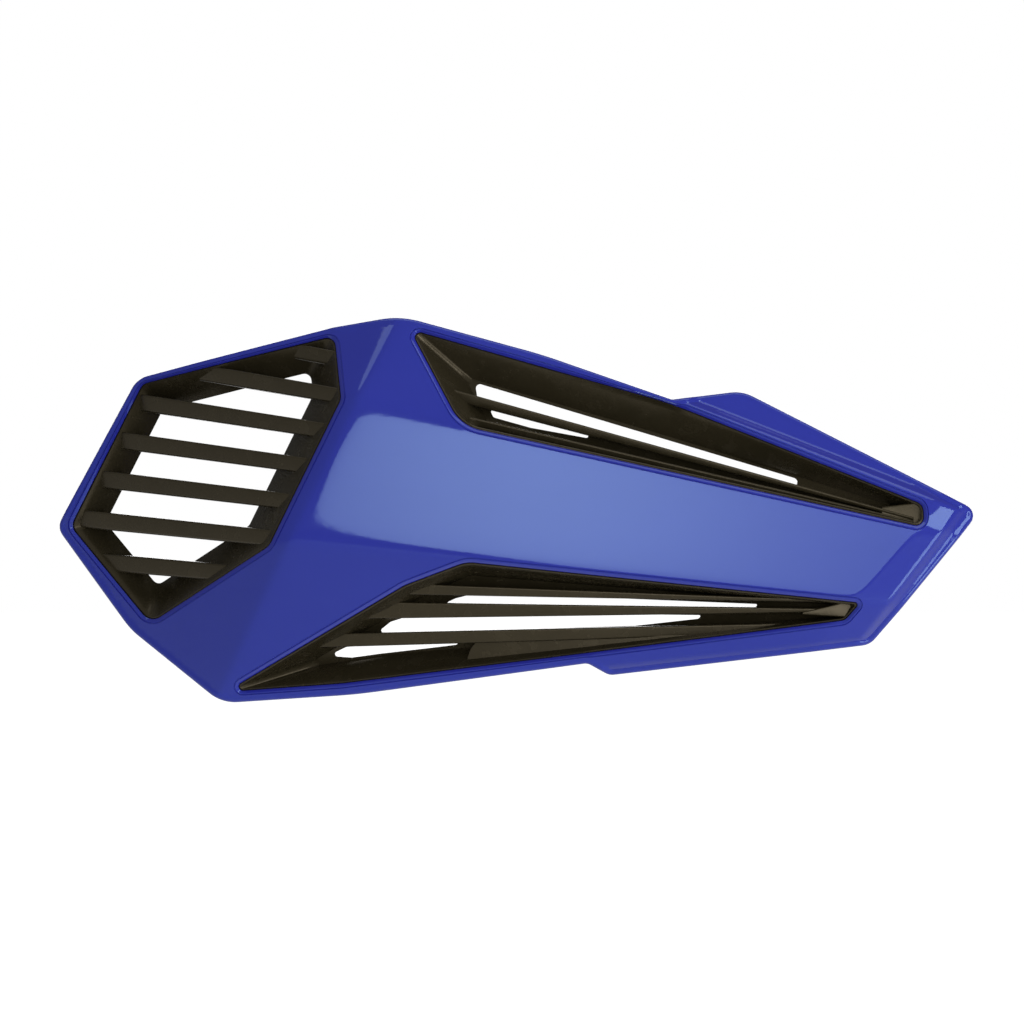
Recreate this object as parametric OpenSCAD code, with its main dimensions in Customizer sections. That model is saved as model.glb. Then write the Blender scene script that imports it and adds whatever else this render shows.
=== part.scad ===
// Motorcycle hand guard: a folded moulded shell with three vents, each filled by
// a louvred insert that is screwed on from behind.
// The guard faces -Y, its length runs along X, and +Z is up.
// The origin lies midway between the two threaded inserts, on their seat face.

/* [Guard] */
// Length from the outer tip to the inner tip
guard_length = 251; // [220:1:280]
// Height from the lowest to the highest point
guard_height = 105; // [94:1:116]
// Wall thickness of the shell
wall = 2; // [1.6:0.1:2.4]
// Radius of the rounded outer rim
rim_radius = 1.5; // [1:0.1:1.9]
// Depth of the rim wall behind the face
rim_depth = 7; // [5:0.5:9]
// Distance from the seat face to the front of the centre panel
panel_depth = 14; // [12:0.5:18]

/* [Folds] */
// Slope of the outer panel behind the outer fold, in degrees
outer_slope = 33; // [26:1:38]
// Slope above the top fold, in degrees
top_slope = 28; // [20:1:34]
// Slope below the bottom fold, in degrees
bottom_slope = 30; // [22:1:36]
// Slope beyond the inner fold, in degrees
inner_slope = 16; // [8:1:22]
// Softness of the folds: a larger value gives a larger bend radius
fold_softness = 3; // [2:0.5:6]
// Radius of the gentle crown across the whole face
crown_radius = 900; // [600:50:2000]
// Step from the raised body back to the flange
flange_step = 2.4; // [1.5:0.1:3]
// Width over which the flange step runs out
flange_run = 2.4; // [1.8:0.1:4]

/* [Vents] */
// Width of the bevel round each vent
bevel = 1.1; // [0.6:0.1:1.3]
// How far the front edge of an insert shows inside its vent
edge_show = 0.6; // [0.3:0.1:1]
// How far an insert tucks behind the shell round its vent
edge_tuck = 0.4; // [0.2:0.05:0.6]
// Thickness of the sloping walls of an insert
funnel_wall = 1.6; // [1.2:0.1:2]
// Depth of an insert behind the shell wall
funnel_depth = 10; // [8:0.5:12]
// Inset of the back opening of the side vent
side_inset = 8; // [6:0.5:9]
// Depth of the seat that an insert has in the shell wall
seat_depth = 0.6; // [0.3:0.1:0.8]
// Gap between an insert and the shell
seat_gap = 0.15; // [0.1:0.05:0.3]

/* [Slats] */
// Number of slats in the side vent
side_slats = 7; // [5:1:8]
// Distance between the slats of the side vent
side_pitch = 10.9; // [9.5:0.1:12]
// Height of a slat of the side vent
side_slat_height = 4.7; // [3.8:0.1:5.4]
// Depth of the slats from front to back
slat_depth = 8; // [6:0.5:9]
// How far the slats lie behind the front edge of their insert
slat_recess = 0.4; // [0.2:0.1:1]
// Slope of the highest slat of the side vent, in degrees
side_first_slope = 11.5; // [8:0.5:14]
// Slope of the lowest slat of the side vent, in degrees
side_last_slope = 4.2; // [2:0.2:8]
// Height of a long slat of the lower vent at its outer end
long_slat_height = 3.8; // [3:0.1:4.6]
// Height of a long slat at its inner end
slat_tip_height = 1.6; // [1.2:0.1:2]
// How far the long slats stand forward of their floor
bar_height = 4.6; // [3:0.2:5.6]
// Thickness of the floor of the upper and lower inserts
floor_thickness = 1.8; // [1.4:0.1:2.4]

/* [Fixings] */
// Distance between the two threaded inserts
arm_spacing = 50; // [44:1:56]
// Diameter of the bosses that hold the threaded inserts
arm_boss_d = 14; // [12:0.5:15]
// Outer diameter of a threaded insert
nut_d = 8; // [7:0.1:9]
// Diameter of the hole through a threaded insert
nut_bore_d = 5; // [4.2:0.1:5.5]
// Length of a threaded insert
nut_length = 9; // [7:0.5:10]
// Gap round a threaded insert
nut_gap = 0.05; // [0.02:0.01:0.15]
// Diameter of a screw's shank
screw_d = 3; // [2.5:0.1:3.5]
// Length of a screw under its head
screw_length = 7; // [6:0.5:8]
// Diameter of a screw's head
screw_head_d = 5.6; // [5:0.1:6.4]
// Height of a screw's head
screw_head_h = 2; // [1.6:0.1:2.6]
// Gap between a screw and its hole in a boss
screw_gap = 0.05; // [0.03:0.01:0.15]
// Gap between a screw and the hole in a fixing ear
ear_gap = 0.25; // [0.15:0.05:0.4]
// Distance from the edge of a vent to the screws beside it
boss_offset = 5.4; // [4.8:0.1:6]
// How far the ears reach in from the edge of a vent
ear_reach = 3; // [2:0.1:4]
// Diameter of the screw bosses
boss_d = 6.4; // [5.8:0.1:7.4]
// Height of the screw bosses behind the wall
boss_height = 6; // [5.5:0.5:7]
// Thickness of the fixing ears
ear_thickness = 2; // [1.6:0.1:2.6]
// Thickness of the ribs that stiffen the bosses and the ears
rib_thickness = 1.4; // [1:0.1:2]
// How far the ribs reach out from a boss that holds a threaded insert
rib_reach = 3.5; // [2:0.1:5]
// How far those ribs end below the seat face
rib_drop = 2; // [1:0.1:4]
// Height of the web behind an ear
web_height = 2; // [1:0.1:3]

/* [Hidden] */

SHELL_COLOUR = [0.21, 0.25, 0.6];
INSERT_COLOUR = [0.2, 0.18, 0.14];
BRASS_COLOUR = [0.78, 0.62, 0.3];
ZINC_COLOUR = [0.7, 0.7, 0.68];

// Shares of the length and height at which the origin lies
ORIGIN_U = 0.651;
ORIGIN_V = 0.46;
// Steps of an arc round a corner of an outline
ARC_STEPS = 3;
// Corner radius of the back opening of the side vent
SIDE_BACK_RADIUS = side_inset / 4;
// Smallest radius that an offset corner keeps
SMALLEST_RADIUS = 0.4;
// Steps of the rounded rim
RIM_STEPS = 2;
// Shares of the height at which the inner edge of the raised body meets the outline
INNER_EDGE_ENDS = [0.152, 0.531];
// Longest and shortest step between two columns of the skins
COLUMN_STEP = 7;
COLUMN_GAP = 2.2;
// Height of a rib where it runs out on the wall
RIB_FOOT = wall / 2;
// A length that reaches past the whole guard, and one that reaches just past a surface
FAR = 150;
PAST = 1;
// Facets of round holes and bosses in the shell and the inserts
ROUND = 16;
// Thickness and number of the slices from which a slat is hulled
SLICE = 0.1;
SLAT_SLICES = 5;

// A point on the face, from its shares of the length and height
function at(u, v) = [(u - ORIGIN_U) * guard_length, (v - ORIGIN_V) * guard_height];
// A corner of an outline: its shares, its radius as a share of the height, and the steps
// of the edge after it
function corner(u, v, r, steps = 1) = concat(at(u, v), [r * guard_height, steps]);

// Outlines seen from the front, anticlockwise
GUARD_OUTLINE = [
    corner(-0.005, 0.457, 0.038), corner(0.079, 0.188, 0.21), corner(0.183, -0.003, 0.11),
    corner(0.33, 0.022, 1.43), corner(0.583, 0.107, 0.029), corner(0.607, 0.075, 0.038),
    corner(0.889, 0.156, 0.048), corner(1.007, 0.499, 0.029), corner(0.751, 0.813, 0.1),
    corner(0.674, 0.79, 0.019), corner(0.532, 0.908, 1.43), corner(0.38, 1.008, 0.25),
    corner(0.306, 0.98, 0.19), corner(0.086, 0.853, 0.067)
];
SIDE_VENT = [
    corner(0.011, 0.46, 0.029, 3), corner(0.102, 0.205, 0.038, 4), corner(0.239, 0.411, 0.048, 4),
    corner(0.317, 0.79, 0.038, 2), corner(0.308, 0.958, 0.024, 4), corner(0.092, 0.838, 0.029, 4)
];
SIDE_BACK = moved(SIDE_VENT, -side_inset, SIDE_BACK_RADIUS);
UPPER_VENT = [
    corner(0.39, 0.973, 0.014, 2), corner(0.446, 0.721, 0.11, 7), corner(0.945, 0.459, 0.015, 1),
    corner(0.944, 0.519, 0.019, 4), corner(0.673, 0.779, 1.43, 4)
];
UPPER_FLOOR = [
    corner(0.45, 0.85, 0.009, 2), corner(0.485, 0.685, 0.057, 7), corner(0.938, 0.466, 0.006, 1),
    corner(0.937, 0.496, 0.006, 4), corner(0.673, 0.693, 1.43, 4)
];
LOWER_VENT = [
    corner(0.187, 0.027, 0.011, 2), corner(0.315, 0.051, 0.57, 7), corner(0.86, 0.22, 0.029, 1),
    corner(0.876, 0.266, 0.008, 6), corner(0.452, 0.371, 0.095, 2), corner(0.385, 0.31, 0.19, 3)
];
LOWER_FLOOR = [
    corner(0.27, 0.09, 0.009, 2), corner(0.37, 0.128, 0.38, 7), corner(0.852, 0.231, 0.005, 1),
    corner(0.858, 0.257, 0.004, 6), corner(0.456, 0.335, 0.076, 2), corner(0.41, 0.285, 0.14, 3)
];

// Fold lines: the face falls back on the right of a walk from the first point to the second
OUTER_FOLD = [at(0.375, 0.992), at(0.179, 0.018)];
TOP_FOLD = [at(0.941, 0.468), at(0.326, 0.8)];
BOTTOM_FOLD = [at(0.271, 0.423), at(0.872, 0.27)];
INNER_FOLD = [at(0.869, 0.296), at(0.923, 0.452)];
// Edges of the raised body, beyond which the flange steps back
BODY_EDGES = [
    [at(0.942, 0.54), at(0.674, 0.792)],
    [at(0.876, 0.177), at(0.979, 0.504)],
    [at(0.597, 0.104), at(0.876, 0.177)]
];

// Screws round each vent: the corner that starts their edge, and their share along that edge
SIDE_SCREWS = [[3, 0.5], [2, 0.55], [1, 0.72], [1, 0.16]];
UPPER_SCREWS = [[0, 0.8], [1, 0.3], [1, 0.79]];
LOWER_SCREWS = [[4, 0.85], [3, 0.53], [3, 0.18]];
ARM_BOSSES = [[-arm_spacing / 2, 0], [arm_spacing / 2, 0]];

// Slots of the upper and lower floors, each as its two long edges from the outer end inwards
UPPER_SLOTS = [
    [[at(0.461, 0.835), at(0.811, 0.584)],
     [at(0.464, 0.79), at(0.808, 0.561)]],
    [[at(0.477, 0.766), at(0.51, 0.753), at(0.584, 0.699)],
     [at(0.481, 0.744), at(0.521, 0.717), at(0.583, 0.69)]]
];
// Long slats of the upper and lower vents: outer end, inner end and the height at each end
UPPER_BARS = [
    [at(0.42, 0.813), at(0.934, 0.481), long_slat_height * 0.8, slat_tip_height * 0.6],
    [at(0.44, 0.742), at(0.934, 0.472), long_slat_height * 0.6, slat_tip_height * 0.6]
];
LOWER_BARS = [
    [at(0.37, 0.301), at(0.858, 0.269), long_slat_height * 0.82, slat_tip_height * 0.4],
    [at(0.33, 0.244), at(0.858, 0.246), long_slat_height * 1.25, slat_tip_height * 0.6],
    [at(0.27, 0.162), at(0.8, 0.199), long_slat_height, slat_tip_height * 1.8]
];
LOWER_SLOTS = [
    [[at(0.431, 0.265), at(0.44, 0.275), at(0.453, 0.283), at(0.516, 0.282), at(0.624, 0.275),
      at(0.767, 0.261)],
     [at(0.431, 0.256), at(0.765, 0.253)]],
    [[at(0.358, 0.192), at(0.369, 0.213), at(0.386, 0.226), at(0.407, 0.23), at(0.624, 0.234),
      at(0.706, 0.232)],
     [at(0.36, 0.184), at(0.462, 0.191), at(0.635, 0.204), at(0.704, 0.223)]],
    [[at(0.307, 0.131), at(0.32, 0.146), at(0.353, 0.153), at(0.443, 0.16)],
     [at(0.308, 0.121), at(0.326, 0.118), at(0.358, 0.129), at(0.407, 0.143), at(0.441, 0.153)]]
];

// Plane geometry
function unit(v) = v / norm(v);
function right_of(d) = [d.y, -d.x];
function blend(a, b, t) = a + (b - a) * t;

function place(c) = [c.x, c.y];
// Corners of an outline moved outwards by a distance, each with its new radius
function moved(corners, outset, r = 0) = let (n = len(corners)) [
    for (i = [0:n - 1])
        let (here = place(corners[i]),
             out_in = right_of(unit(here - place(corners[(i + n - 1) % n]))),
             out_out = right_of(unit(place(corners[(i + 1) % n]) - here)),
             side = out_in.x * out_out.y < out_in.y * out_out.x ? -1 : 1)
        concat(here + outset * (out_in + out_out) / (1 + out_in * out_out),
               [max(r > 0 ? r : corners[i][2] + side * outset, SMALLEST_RADIUS), corners[i][3]])
];
// Arc round one corner
function corner_arc(before, c, after) =
    let (along_in = unit(place(c) - place(before)),
         along_out = unit(place(after) - place(c)),
         turn = atan2(along_in.x * along_out.y - along_in.y * along_out.x, along_in * along_out),
         side = turn < 0 ? -1 : 1,
         out_in = right_of(along_in),
         centre = place(c) - c[2] * (along_in * abs(tan(turn / 2)) + side * out_in),
         start = atan2(out_in.y, out_in.x))
    [for (k = [0:ARC_STEPS]) let (a = start + turn * k / ARC_STEPS) centre + side * c[2] * [cos(a), sin(a)]];
// Points of an outline of rounded corners, moved outwards by a distance
function rounded(corners, outset = 0) =
    let (n = len(corners),
         c = moved(corners, outset),
         arcs = [for (i = [0:n - 1]) corner_arc(c[(i + n - 1) % n], c[i], c[(i + 1) % n])])
    [for (i = [0:n - 1]) each concat(
        arcs[i],
        [for (k = [1:1:c[i][3] - 1]) blend(arcs[i][ARC_STEPS], arcs[(i + 1) % n][0], k / c[i][3])])];

// Point beside an edge of an outline, at a distance outside it
function beside(corners, spot, outset) =
    let (a = corners[spot[0]], b = corners[(spot[0] + 1) % len(corners)],
         start = place(a), end = place(b))
    blend(start, end, spot[1]) + outset * right_of(unit(end - start));

// The face of the guard, as the depth Y over a point of the front view
function beyond(p, line) = (p - line[0]) * right_of(unit(line[1] - line[0]));
function soft_ramp(s, soft) = (s + sqrt(s * s + soft * soft)) / 2;
function fold(p, line, slope) = tan(slope) * soft_ramp(beyond(p, line), fold_softness);
function ease(t) = let (c = min(max(t, 0), 1)) c * c * (3 - 2 * c);
function flange(p) = flange_step * ease(max([for (e = BODY_EDGES) beyond(p, e)]) / flange_run);
function face(p) =
    (p * p) / (2 * crown_radius) - panel_depth
    + fold(p, OUTER_FOLD, outer_slope) + fold(p, TOP_FOLD, top_slope)
    + fold(p, BOTTOM_FOLD, bottom_slope) + fold(p, INNER_FOLD, inner_slope)
    + flange(p);
// Depth of the wall's inner skin, with the wall's thickness measured square to the face
function face_slope(p) = let (h = 0.2)
    [face(p + [h, 0]) - face(p - [h, 0]), face(p + [0, h]) - face(p - [0, h])] / (2 * h);
function inner_face(p) = let (g = face_slope(p)) face(p) + wall * sqrt(1 + g * g);

// Solid between loops of equally many points, each behind the one before
module lofted(loops) {
    n = len(loops[0]);
    last = len(loops) - 1;
    polyhedron(
        points = [for (loop = loops) each loop],
        faces = [
            [for (i = [n - 1:-1:0]) i],
            for (j = [0:last - 1]) for (i = [0:n - 1]) let (k = (i + 1) % n)
                each [[j * n + i, j * n + k, (j + 1) * n + k], [j * n + i, (j + 1) * n + k, (j + 1) * n + i]],
            [for (i = [0:n - 1]) last * n + i]
        ],
        convexity = 6);
}
function level(loop, y) = [for (p = loop) [p.x, y, p.y]];
function on_face(loop, back = 0) = [for (p = loop) [p.x, face(p) + back, p.y]];
function behind_wall(loop, back = 0) = [for (p = loop) [p.x, inner_face(p) + back, p.y]];

// Parts of a loop from its outer tip to its inner tip: the part below, then the part above
function halves(loop) =
    let (n = len(loop),
         xs = [for (p = loop) p.x],
         first = search(min(xs), xs)[0],
         last = search(max(xs), xs)[0])
    [[for (i = [0:(last - first + n) % n]) loop[(first + i) % n]],
     [for (i = [0:(first - last + n) % n]) loop[(first - i + n) % n]]];

// Columns that both skins and the rim share. They lean along the outer fold and the inner
// edge of the raised body, so each is given by its ends on the lower and the upper edge.
function sorted(v) = len(v) < 2 ? v :
    let (pivot = v[floor(len(v) / 2)])
    concat(sorted([for (e = v) if (e < pivot) e]), [for (e = v) if (e == pivot) e],
           sorted([for (e = v) if (e > pivot) e]));
function thinned(v, gap) = [
    for (i = 0, kept = v[0] - gap; i < len(v); kept = v[i] - kept >= gap ? v[i] : kept, i = i + 1)
        if (v[i] - kept >= gap) v[i]
];
function filled(v, step) = [
    for (i = [0:len(v) - 2])
        let (n = ceil((v[i + 1] - v[i]) / step))
        for (k = [0:n - 1]) blend(v[i], v[i + 1], k / n),
    v[len(v) - 1]
];
function along(line, z) = blend(line[0], line[1], (z - line[0].y) / (line[1].y - line[0].y)).x;
RIM = halves(rounded(GUARD_OUTLINE));
FIRST_X = RIM[0][0].x;
LAST_X = RIM[1][len(RIM[1]) - 1].x;
INNER_ENDS = [for (v = INNER_EDGE_ENDS) along(BODY_EDGES[1], at(0, v).y)];
LEAN = [[FIRST_X, FIRST_X], [OUTER_FOLD[1].x, OUTER_FOLD[0].x], INNER_ENDS, [LAST_X, LAST_X]];
UPRIGHT = [for (q = LEAN) [q[1], q[0]]];
KEPT_X = [
    for (k = [-1:1]) OUTER_FOLD[1].x + k * fold_softness * 1.4,
    INNER_ENDS[0], INNER_ENDS[0] + flange_run * 1.3
];
CORNER_X = thinned(sorted(concat([for (p = RIM[0]) p.x], [for (p = RIM[1]) lookup(p.x, UPRIGHT)])), COLUMN_GAP);
FREE_X = [
    for (x = CORNER_X)
        if (x < LAST_X - COLUMN_GAP && min([for (k = KEPT_X) abs(x - k)]) > COLUMN_GAP / 2) x
];
LOWER_X = filled(concat(sorted(concat(FREE_X, KEPT_X)), LAST_X), COLUMN_STEP);
COLUMNS = [for (x = LOWER_X) ([x, lookup(x, LEAN)] - [FIRST_X, FIRST_X]) / (LAST_X - FIRST_X)];
LAST_COLUMN = len(COLUMNS) - 1;
LOOP_COUNT = 2 * LAST_COLUMN;

// Loop of the guard's outline, moved outwards, with one point per column below and above
function edge_loop(outset) =
    let (parts = halves(rounded(GUARD_OUTLINE, outset)),
         start = parts[0][0],
         end = parts[1][len(parts[1]) - 1])
    [start,
     for (j = [1:LAST_COLUMN - 1]) let (x = blend(start.x, end.x, COLUMNS[j][0])) [x, lookup(x, parts[0])],
     end,
     for (j = [LAST_COLUMN - 1:-1:1]) let (x = blend(start.x, end.x, COLUMNS[j][1])) [x, lookup(x, parts[1])]];
function lower_index(j) = j;
function upper_index(j) = (LOOP_COUNT - j) % LOOP_COUNT;

// Shares down a column at which its rows lie: they crowd at the long folds and the flange
function crossing(top, bottom, line) =
    let (a = beyond(top, line), b = beyond(bottom, line)) a == b ? 0 : a / (a - b);
function held(t, low, high) = min(max(t, low), high);
function row_shares(top, bottom) =
    let (size = norm(top - bottom),
         bend = min(1.2 * fold_softness / size, 0.06),
         step = min(1.1 * flange_run / size, 0.04),
         a = held(crossing(top, bottom, TOP_FOLD), 0.2, 0.42),
         b = held(crossing(top, bottom, BOTTOM_FOLD), 0.58, 0.82),
         f = held(crossing(top, bottom, BODY_EDGES[0]), step + 0.01, a - bend - 0.03),
         g = held(crossing(top, bottom, BODY_EDGES[2]), b + bend + 0.03, 1 - step - 0.01))
    [0, f - step, f, (f + a - bend) / 2, a - bend, a, a + bend, (a + b) / 2,
     b - bend, b, b + bend, (g + b + bend) / 2, g, g + step, 1];
SKIN_ROWS = len(row_shares([0, 1], [0, 0])) - 1;
// Points of a skin between the upper and lower edge of each column, without the edges
function skin_points(loop) = [
    for (j = [1:LAST_COLUMN - 1])
        let (top = loop[upper_index(j)], bottom = loop[lower_index(j)], rows = row_shares(top, bottom))
        for (k = [1:SKIN_ROWS - 1]) blend(top, bottom, rows[k])
];
function skin_index(j, k, edge, inside) =
    j == 0 ? edge : j == LAST_COLUMN ? edge + LAST_COLUMN :
    k == 0 ? edge + upper_index(j) : k == SKIN_ROWS ? edge + lower_index(j) :
    inside + (j - 1) * (SKIN_ROWS - 1) + k - 1;
function distinct(t) = t[0] != t[1] && t[1] != t[2] && t[2] != t[0];
function skin_faces(edge, inside) = [
    for (j = [0:LAST_COLUMN - 1]) for (k = [0:SKIN_ROWS - 1])
        let (a = skin_index(j, k, edge, inside), b = skin_index(j + 1, k, edge, inside),
             c = skin_index(j + 1, k + 1, edge, inside), d = skin_index(j, k + 1, edge, inside))
        for (t = [[a, b, c], [a, c, d]]) if (distinct(t)) t
];

// The folded wall with its rounded rim, before the vents are cut
module folded_wall() {
    flat_edge = edge_loop(-rim_radius);
    inner_edge = edge_loop(-wall);
    n = LOOP_COUNT;
    rim_face = [for (p = flat_edge) face(p)];
    function ring(loop, back) = [for (i = [0:n - 1]) [loop[i].x, rim_face[i] + back, loop[i].y]];
    rim = [
        for (k = [0:RIM_STEPS])
            let (a = 90 - 90 * k / RIM_STEPS)
            ring(edge_loop(-rim_radius * (1 - cos(a))), rim_radius * (1 - sin(a))),
        ring(edge_loop(0), rim_depth),
        ring(inner_edge, rim_depth),
        behind_wall(inner_edge)
    ];
    front_inside = skin_points(flat_edge);
    back_inside = skin_points(inner_edge);
    rim_count = len(rim) * n;
    back_start = rim_count + len(front_inside);
    polyhedron(
        points = concat([for (loop = rim) each loop], on_face(front_inside), behind_wall(back_inside)),
        faces = concat(
            [for (j = [0:len(rim) - 2]) for (i = [0:n - 1]) let (k = (i + 1) % n)
                each [[j * n + i, j * n + k, (j + 1) * n + k], [j * n + i, (j + 1) * n + k, (j + 1) * n + i]]],
            skin_faces(0, rim_count),
            [for (t = skin_faces(rim_count - n, back_start)) [t[2], t[1], t[0]]]),
        convexity = 8);
}

// Everything behind the middle of the wall: it keeps bosses and ribs from the front of the face
module behind_face() {
    edge = edge_loop(-wall / 2);
    inside = skin_points(edge);
    n = LOOP_COUNT;
    polyhedron(
        points = concat(on_face(edge, wall / 2), level(edge, FAR), on_face(inside, wall / 2)),
        faces = concat(
            [for (i = [0:n - 1]) let (k = (i + 1) % n) each [[i, k, n + k], [i, n + k, n + i]]],
            skin_faces(0, 2 * n),
            [[for (i = [0:n - 1]) n + i]]),
        convexity = 8);
}

// Opening through the wall with a bevel round its front edge
module vent_cut(outline) {
    wide = rounded(outline, bevel);
    narrow = rounded(outline);
    lofted([level(wide, -FAR), on_face(wide), on_face(narrow, bevel), level(narrow, FAR)]);
}

// Seat for an insert in the wall and the rim, with its gap all round
module seat_cut(front, back) {
    mouth = rounded(front, edge_tuck + seat_gap);
    lofted([behind_wall(mouth, -seat_depth), behind_wall(mouth, seat_gap - seat_depth),
            behind_wall(rounded(back, funnel_wall + seat_gap), funnel_depth)]);
}

// Round post along Y, from one depth to another
module post(p, from_y, to_y, d, facets = ROUND) {
    translate([p.x, from_y, p.y])
        rotate([-90, 0, 0])
            cylinder(d = d, h = to_y - from_y, $fn = facets);
}
// Diameter of a faceted hole that clears a round piece
function clear_d(d, gap) = (d + 2 * gap) / cos(180 / ROUND);

function boss_top(p) = inner_face(p) + boss_height;
function screw_points(corners, places) = [for (q = places) beside(corners, q, boss_offset)];
SCREW_POINTS = concat(screw_points(SIDE_VENT, SIDE_SCREWS), screw_points(UPPER_VENT, UPPER_SCREWS),
                      screw_points(LOWER_VENT, LOWER_SCREWS));
module rib(p, angle, reach, top) {
    // A rib runs from its boss down to the wall
    end = p + reach * [cos(angle), sin(angle)];
    hull() {
        post(p, face(p), top, rib_thickness, 8);
        post(end, face(end), inner_face(end) + RIB_FOOT, rib_thickness, 8);
    }
}
module arm_boss(p) {
    post(p, face(p) - wall, 0, arm_boss_d);
    for (angle = [0:90:270]) rib(p, angle, arm_boss_d / 2 + rib_reach, -rib_drop);
}
module screw_boss(p) {
    post(p, face(p) - boss_d / 2, boss_top(p), boss_d);
}

module shell() {
    color(SHELL_COLOUR)
        difference() {
            union() {
                folded_wall();
                intersection() {
                    behind_face();
                    union() {
                        for (p = ARM_BOSSES) arm_boss(p);
                        for (p = SCREW_POINTS) screw_boss(p);
                    }
                }
            }
            for (v = [SIDE_VENT, UPPER_VENT, LOWER_VENT]) vent_cut(v);
            seat_cut(SIDE_VENT, SIDE_BACK);
            seat_cut(UPPER_VENT, UPPER_FLOOR);
            seat_cut(LOWER_VENT, LOWER_FLOOR);
            for (p = ARM_BOSSES) post(p, -nut_length - nut_gap, PAST, clear_d(nut_d, nut_gap));
            for (p = SCREW_POINTS)
                post(p, boss_top(p) + ear_thickness - screw_length - screw_gap, boss_top(p) + PAST,
                     clear_d(screw_d, screw_gap));
        }
}

// Insert behind a vent: its funnel, the air inside it, its slats and its fixing ears
module funnel_body(front, back_outer) {
    lofted([behind_wall(rounded(front, edge_tuck), seat_gap - seat_depth),
            behind_wall(back_outer, funnel_depth)]);
}
module funnel_air(front, back, floor) {
    mouth = rounded(front, -edge_show);
    lofted([level(mouth, -FAR), behind_wall(mouth, seat_gap - seat_depth),
            behind_wall(back, funnel_depth - floor)]);
}
// Slat whose front follows the face, hulled from slices between its two ends
module slat(first, last, heights, recess, depth) {
    hull()
        for (i = [0:SLAT_SLICES]) {
            t = i / SLAT_SLICES;
            p = blend(first, last, t);
            h = blend(heights[0], heights[1], t);
            translate([p.x - SLICE / 2, inner_face(p) + recess, p.y - h / 2])
                cube([SLICE, depth, h]);
        }
}
// Ear that carries a screw: a flat tongue from the funnel to its boss, with a web behind it
module ear(p, anchor) {
    seat = boss_top(p);
    web_end = blend(p, anchor, (screw_head_d / 2 + rib_thickness) / norm(anchor - p));
    hull() {
        post(p, seat, seat + ear_thickness, boss_d);
        post(anchor, seat, seat + ear_thickness, boss_d);
    }
    hull() {
        post(anchor, seat, seat + ear_thickness + web_height, rib_thickness, 8);
        post(web_end, seat, seat + ear_thickness + web_height * 0.2, rib_thickness, 8);
    }
}
// The child modules are the openings of the floor, then the slats
module insert(front, back, floor, places) {
    color(INSERT_COLOUR)
        difference() {
            union() {
                funnel_body(front, rounded(back, funnel_wall));
                for (q = places) ear(beside(front, q, boss_offset), beside(front, q, -ear_reach));
            }
            difference() {
                union() {
                    funnel_air(front, rounded(back), floor);
                    children(0);
                }
                children(1);
            }
            for (p = screw_points(front, places)) post(p, -FAR, FAR, clear_d(screw_d, ear_gap));
        }
}

module side_slat_row() {
    // The slats fan out about one upright line, from steep at the top to nearly level
    middle = at(0.163, 0.657);
    reach = guard_length * 0.18;
    for (i = [0:side_slats - 1]) {
        slope = blend(side_first_slope, side_last_slope, i / (side_slats - 1));
        height = ((side_slats - 1) / 2 - i) * side_pitch;
        slat(middle + [-reach, height + reach * tan(slope)], middle + [reach, height - reach * tan(slope)],
             [side_slat_height * 1.08, side_slat_height * 0.88], slat_recess, slat_depth);
    }
}
module side_vent_insert() {
    insert(SIDE_VENT, SIDE_BACK, -PAST, SIDE_SCREWS) {
        union() {}
        side_slat_row();
    }
}

// Slot through a floor, between its two long edges
module slot(edges) {
    points = concat(edges[0], [for (i = [len(edges[1]) - 1:-1:0]) edges[1][i]]);
    translate([0, FAR, 0])
        rotate([90, 0, 0])
            linear_extrude(2 * FAR)
                polygon(points);
}
// Long slat that stands on the floor and tapers towards the inner end
module bar(b) {
    slat(b[0], b[1], [b[2], b[3]], funnel_depth - bar_height - floor_thickness, bar_height + floor_thickness);
}

module upper_vent_insert() {
    insert(UPPER_VENT, UPPER_FLOOR, floor_thickness, UPPER_SCREWS) {
        for (s = UPPER_SLOTS) slot(s);
        for (b = UPPER_BARS) bar(b);
    }
}

module lower_vent_insert() {
    insert(LOWER_VENT, LOWER_FLOOR, floor_thickness, LOWER_SCREWS) {
        for (s = LOWER_SLOTS) slot(s);
        for (b = LOWER_BARS) bar(b);
    }
}

module threaded_insert(p) {
    color(BRASS_COLOUR)
        translate([p.x, -nut_length, p.y])
            rotate([-90, 0, 0])
                difference() {
                    cylinder(d = nut_d, h = nut_length, $fn = 48);
                    translate([0, 0, -1]) cylinder(d = nut_bore_d, h = nut_length + 2, $fn = 48);
                }
}

module screw(p) {
    // Pan head behind the ear, shank forward into the boss
    seat = boss_top(p) + ear_thickness;
    color(ZINC_COLOUR)
        translate([p.x, seat, p.y])
            rotate([-90, 0, 0])
                rotate_extrude($fn = 24)
                    polygon([[0, -screw_length], [screw_d * 0.3, -screw_length],
                             [screw_d / 2, -screw_length + screw_d * 0.35], [screw_d / 2, 0],
                             [screw_head_d / 2, 0], [screw_head_d / 2, screw_head_h * 0.55],
                             [screw_head_d * 0.38, screw_head_h * 0.9], [screw_head_d * 0.2, screw_head_h],
                             [0, screw_head_h]]);
}

shell();
side_vent_insert();
upper_vent_insert();
lower_vent_insert();
threaded_insert(ARM_BOSSES[0]);  // threaded_insert_1
threaded_insert(ARM_BOSSES[1]);  // threaded_insert_2
module screw_row(name, corners, places) {
    for (i = [1:len(places)])
        screw(screw_points(corners, places)[i - 1]);
}
screw_row("side_vent_screw_", SIDE_VENT, SIDE_SCREWS);
screw_row("upper_vent_screw_", UPPER_VENT, UPPER_SCREWS);
screw_row("lower_vent_screw_", LOWER_VENT, LOWER_SCREWS);
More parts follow.
